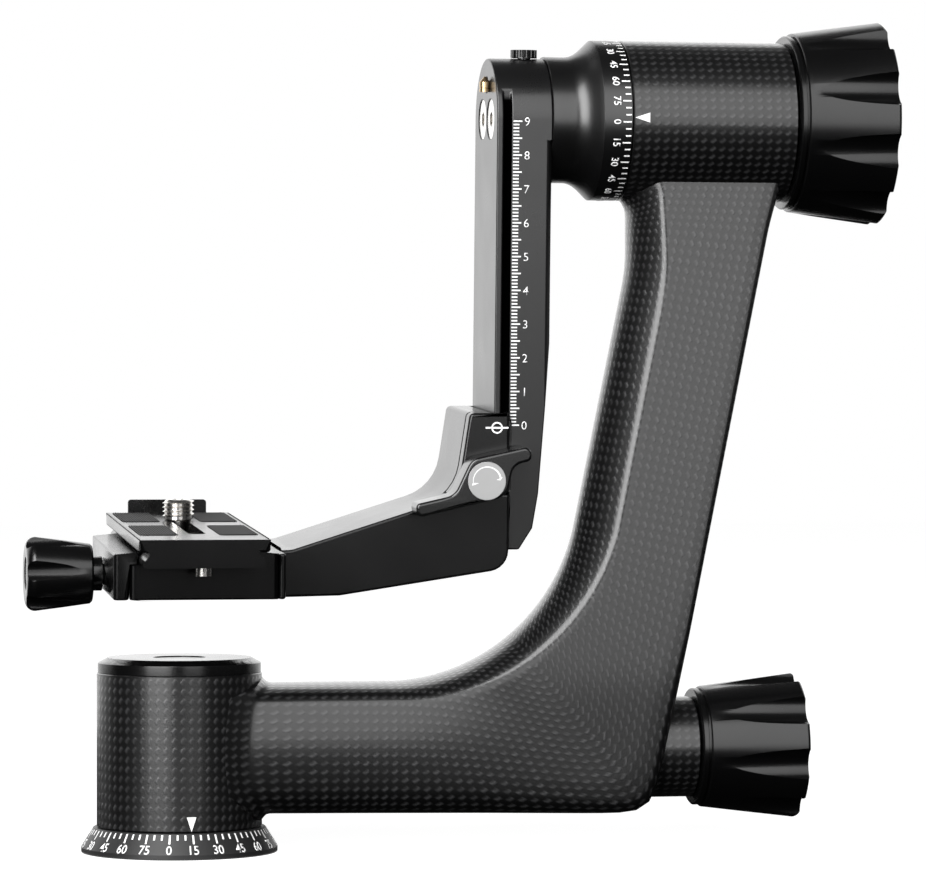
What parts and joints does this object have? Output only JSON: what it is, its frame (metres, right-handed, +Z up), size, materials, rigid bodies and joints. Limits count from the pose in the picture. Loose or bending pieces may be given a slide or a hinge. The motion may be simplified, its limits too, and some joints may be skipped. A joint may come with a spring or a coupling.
{
  "type": "gimbal tripod head",
  "caption": "Gimbal tripod head: a curved carbon frame pans on a tripod foot and carries a tilting swing arm, a sliding camera clamp with its plate, and fluted lock knobs.",
  "frame": {"origin": "centre of the foot's lower face, on the tripod socket's axis", "axes": "+Z up along the pan axis, +X from the pan axis towards the upright, along the tilt axis, +Y away from the front face with the scale"},
  "size_m": [0.2574, 0.1015, 0.2479],
  "materials": {
    "carbon_fibre": "woven fibre under a clear gloss coat",
    "black_anodised": "satin black anodised",
    "black_painted": "fine satin dark grey coat",
    "knob_black": "satin black anodised, machined flutes",
    "steel": "bright, turned",
    "black_steel": "blackened",
    "grey_cap": "matte grey",
    "brass": "turned",
    "pad_rubber": "ribbed matte"
  },
  "bodies": {
    "base": {"foot_plate": "black_anodised", "dial_ring": "black_anodised", "foot_screws": "steel", "pan_spindle": "steel", "spindle_nut": "steel"},
    "frame": {"carbon_frame": "carbon_fibre", "pan_liner": "black_anodised", "pan_bearing_lower": "steel", "pan_bearing_upper": "steel", "pan_cap": "black_anodised", "pan_lock_bush": "brass", "tilt_liner": "black_anodised", "tilt_bearing_left": "steel", "tilt_bearing_right": "steel", "tube_end_ring": "black_anodised"},
    "pan_brake": {"pan_brake_shoe": "brass"},
    "pan_lock": {"pan_lock_rod": "steel", "pan_knob": "knob_black", "pan_knob_insert": "brass"},
    "tilt_clutch": {"tilt_clutch_ring": "brass"},
    "tilt_lock": {"tilt_knob": "knob_black", "tilt_knob_insert": "brass"},
    "swing": {"swing_arm": "black_painted", "tilt_hub": "black_anodised", "tilt_axle": "steel", "axle_nut": "steel", "hub_screws": "steel", "height_stop_pin": "brass"},
    "stop_screw": {"stop_lock_screw": "black_steel"},
    "carriage": {"carriage_bracket": "black_painted", "rail_jaw": "black_painted", "lever_bolt": "steel", "clamp_base": "black_anodised", "clamp_screws": "steel"},
    "lever": {"lock_lever": "black_painted", "lever_cap": "grey_cap"},
    "jaw": {"clamp_jaw": "black_anodised", "clamp_guide_pins": "steel"},
    "clamp_screw": {"clamp_knob": "knob_black", "clamp_shaft": "black_anodised"},
    "plate": {"camera_plate": "black_anodised", "plate_pads": "pad_rubber", "plate_stop_screws": "steel"},
    "screw_slider": {"screw_washer": "steel"},
    "camera_screw": {"camera_screw": "steel"}
  },
  "joints": [
    {"name": "pan", "type": "hinge", "parent": "base", "child": "frame", "pos_m": [0, 0, 0.03], "axis": [0, 0, 1], "continuous": true},
    {"name": "pan_lock_turn", "type": "hinge", "parent": "frame", "child": "pan_lock", "pos_m": [0.17, 0, 0.029], "axis": [1, 0, 0], "range_deg": [0, 270]},
    {"name": "pan_brake_slide", "type": "slide", "parent": "frame", "child": "pan_brake", "axis": [1, 0, 0], "range_m": [0, 0.00095]},
    {"name": "tilt", "type": "hinge", "parent": "frame", "child": "swing", "pos_m": [0.15, 0, 0.2175], "axis": [1, 0, 0], "continuous": true},
    {"name": "tilt_lock_turn", "type": "hinge", "parent": "frame", "child": "tilt_lock", "pos_m": [0.2, 0, 0.2175], "axis": [1, 0, 0], "range_deg": [0, 270]},
    {"name": "tilt_clutch_slide", "type": "slide", "parent": "frame", "child": "tilt_clutch", "axis": [1, 0, 0], "range_m": [0, 0.00095]},
    {"name": "height", "type": "slide", "parent": "swing", "child": "carriage", "axis": [0, -0.0576, 0.9983], "range_m": [0, 0.09]},
    {"name": "stop_screw_turn", "type": "hinge", "parent": "swing", "child": "stop_screw", "pos_m": [0.1035, -0.00105, 0.23567], "axis": [0, -0.0576, 0.9983], "continuous": true},
    {"name": "lever_turn", "type": "hinge", "parent": "carriage", "child": "lever", "pos_m": [0.0881, -0.01514, 0.1101], "axis": [0, 0.9983, 0.0576], "range_deg": [-20, 70]},
    {"name": "jaw_slide", "type": "slide", "parent": "carriage", "child": "jaw", "axis": [-1, 0, 0], "range_m": [0, 0.006]},
    {"name": "clamp_knob_turn", "type": "hinge", "parent": "jaw", "child": "clamp_screw", "pos_m": [-0.03, 0.00781, 0.08203], "axis": [-1, 0, 0], "range_deg": [0, 1728]},
    {"name": "plate_slide", "type": "slide", "parent": "carriage", "child": "plate", "axis": [0, 0.9983, 0.0576], "range_m": [-0.01, 0.01]},
    {"name": "screw_slide", "type": "slide", "parent": "plate", "child": "screw_slider", "axis": [0, 0.9983, 0.0576], "range_m": [-0.047, 0.0105]},
    {"name": "camera_screw_turn", "type": "hinge", "parent": "screw_slider", "child": "camera_screw", "pos_m": [0.0027, 0.02697, 0.09725], "axis": [0, -0.0576, 0.9983], "continuous": true}
  ],
  "couplings": [
    {"joint": "pan_brake_slide", "follows": "pan_lock_turn", "m_per_rad": 0.00019894},
    {"joint": "tilt_clutch_slide", "follows": "tilt_lock_turn", "m_per_rad": 0.00019894},
    {"joint": "clamp_knob_turn", "follows": "jaw_slide", "rad_per_m": 5026.5}
  ]
}
